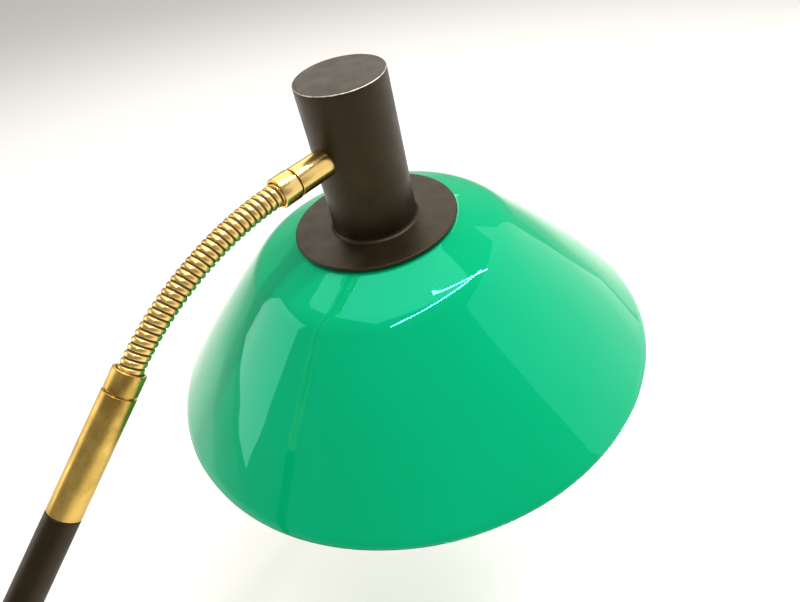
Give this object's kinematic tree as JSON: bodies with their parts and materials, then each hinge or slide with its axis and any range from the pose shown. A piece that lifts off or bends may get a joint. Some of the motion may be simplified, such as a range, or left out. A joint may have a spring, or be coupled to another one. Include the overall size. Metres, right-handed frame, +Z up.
{
  "type": "swing arm desk lamp",
  "caption": "Desk lamp with a leaning arm, a flexible brass gooseneck, a black cup with a flange and a wide conical green shade on a weighted round base.",
  "frame": {"origin": "centre of the underside of the base", "axes": "+Z up; the lamp stands in the XZ plane and its arm leans towards +X"},
  "size_m": [0.565, 0.277, 0.4583],
  "materials": {
    "black_lacquer": "satin",
    "bright_brass": "polished",
    "aged_brass": "aged satin",
    "green_acrylic": "high gloss",
    "felt": "matte",
    "zinc_steel": "satin",
    "cast_iron": "rough",
    "bakelite": "gloss",
    "porcelain": "gloss",
    "raw_brass": "satin",
    "fibre": "matte",
    "rubber": "matte",
    "cap_metal": "satin",
    "bulb_glass": "frosted",
    "flex": "matte"
  },
  "bodies": {
    "base": {"felt_pad": "felt", "bottom_plate": "zinc_steel", "bottom_screws": "zinc_steel", "ballast": "cast_iron", "base_cover": "black_lacquer", "switch_body": "bakelite", "switch_bezel": "bright_brass", "switch_spring": "zinc_steel", "cord_gland": "bakelite", "gland_nut": "zinc_steel", "terminal_block": "porcelain", "post_socket": "bright_brass", "post_tube": "black_lacquer", "post_nipple": "raw_brass", "post_nuts": "zinc_steel", "post_cap": "bright_brass"},
    "button": {"switch_button": "bakelite"},
    "fork": {"fork": "bright_brass", "fork_clip": "zinc_steel", "friction_washers": "fibre", "pivot_nut": "bright_brass"},
    "clamp": {"clamp_knob": "bright_brass", "clamp_stud": "bright_brass"},
    "arm": {"arm_eye": "bright_brass", "arm_tube": "black_lacquer", "lower_ferrule": "aged_brass", "lower_collar": "bright_brass", "gooseneck_foot": "aged_brass"},
    "neck_1": {"gooseneck_link_1": "aged_brass"},
    "neck_2": {"gooseneck_link_2": "aged_brass"},
    "neck_3": {"gooseneck_link_3": "aged_brass"},
    "neck_4": {"gooseneck_link_4": "aged_brass"},
    "neck_5": {"gooseneck_link_5": "aged_brass"},
    "neck_6": {"gooseneck_link_6": "aged_brass"},
    "neck_7": {"gooseneck_link_7": "aged_brass"},
    "neck_8": {"gooseneck_link_8": "aged_brass"},
    "neck_end": {"gooseneck_end": "aged_brass", "upper_collar": "bright_brass", "swivel_tube": "raw_brass", "swivel_clip": "zinc_steel"},
    "head": {"upper_ferrule": "bright_brass", "ferrule_nut": "zinc_steel", "lamp_cup": "black_lacquer", "shade": "green_acrylic", "shade_gaskets": "rubber", "carrier_washer": "zinc_steel", "shade_ring": "bakelite", "holder_bracket": "zinc_steel", "holder_nipple": "raw_brass", "holder_nut": "zinc_steel", "holder_dome": "bakelite", "holder_skirt": "bakelite", "holder_core": "porcelain", "screw_shell": "raw_brass", "centre_contact": "raw_brass", "bulb_cap": "cap_metal", "bulb_glass": "bulb_glass", "head_lead": "flex"}
  },
  "joints": [
    {"name": "post_swivel", "type": "hinge", "parent": "base", "child": "fork", "pos_m": [-0.06, 0, 0.154], "axis": [0, 0, 1], "range_deg": [-170, 170]},
    {"name": "arm_tilt", "type": "hinge", "parent": "fork", "child": "arm", "pos_m": [-0.06, 0, 0.172], "axis": [0, 1, 0], "range_deg": [-40, 20]},
    {"name": "clamp_turn", "type": "hinge", "parent": "fork", "child": "clamp", "pos_m": [-0.06, -0.02, 0.172], "axis": [0, -1, 0], "range_deg": [0, 270]},
    {"name": "switch_press", "type": "slide", "parent": "base", "child": "button", "axis": [0, 0, -1], "range_m": [0, 0.003], "stiffness_N_per_m": 400, "deforming": ["switch_spring"]},
    {"name": "neck_bend", "type": "hinge", "parent": "arm", "child": "neck_1", "pos_m": [0.15941, 0, 0.3766], "axis": [0, 1, 0], "range_deg": [-12, 5]},
    {"name": "neck_sway", "type": "hinge", "parent": "neck_1", "child": "neck_2", "pos_m": [0.16879, 0, 0.38466], "axis": [-0.6208, 0, 0.784], "range_deg": [-10, 10]},
    {"name": "neck_bend_2", "type": "hinge", "parent": "neck_2", "child": "neck_3", "pos_m": [0.17879, 0, 0.39195], "axis": [0, 1, 0], "range_deg": [-12, 5]},
    {"name": "neck_sway_2", "type": "hinge", "parent": "neck_3", "child": "neck_4", "pos_m": [0.18934, 0, 0.3984], "axis": [-0.4867, 0, 0.8736], "range_deg": [-10, 10]},
    {"name": "neck_bend_3", "type": "hinge", "parent": "neck_4", "child": "neck_5", "pos_m": [0.20039, 0, 0.40398], "axis": [0, 1, 0], "range_deg": [-12, 5]},
    {"name": "neck_sway_3", "type": "hinge", "parent": "neck_5", "child": "neck_6", "pos_m": [0.21184, 0, 0.40865], "axis": [-0.34, 0, 0.9404], "range_deg": [-10, 10]},
    {"name": "neck_bend_4", "type": "hinge", "parent": "neck_6", "child": "neck_7", "pos_m": [0.22364, 0, 0.41239], "axis": [0, 1, 0], "range_deg": [-12, 5]},
    {"name": "neck_sway_4", "type": "hinge", "parent": "neck_7", "child": "neck_8", "pos_m": [0.23569, 0, 0.41516], "axis": [-0.1844, 0, 0.9829], "range_deg": [-10, 10]},
    {"name": "neck_bend_5", "type": "hinge", "parent": "neck_8", "child": "neck_end", "pos_m": [0.24793, 0, 0.41694], "axis": [0, 1, 0], "range_deg": [-12, 5]},
    {"name": "head_turn", "type": "hinge", "parent": "neck_end", "child": "head", "pos_m": [0.25788, 0, 0.41799], "axis": [0.9945, 0, 0.1045], "range_deg": [-90, 90]}
  ],
  "couplings": [
    {"joint": "neck_bend_2", "follows": "neck_bend", "ratio": 1},
    {"joint": "neck_sway_2", "follows": "neck_sway", "ratio": 1},
    {"joint": "neck_bend_3", "follows": "neck_bend", "ratio": 1},
    {"joint": "neck_sway_3", "follows": "neck_sway", "ratio": 1},
    {"joint": "neck_bend_4", "follows": "neck_bend", "ratio": 1},
    {"joint": "neck_sway_4", "follows": "neck_sway", "ratio": 1},
    {"joint": "neck_bend_5", "follows": "neck_bend", "ratio": 1}
  ]
}
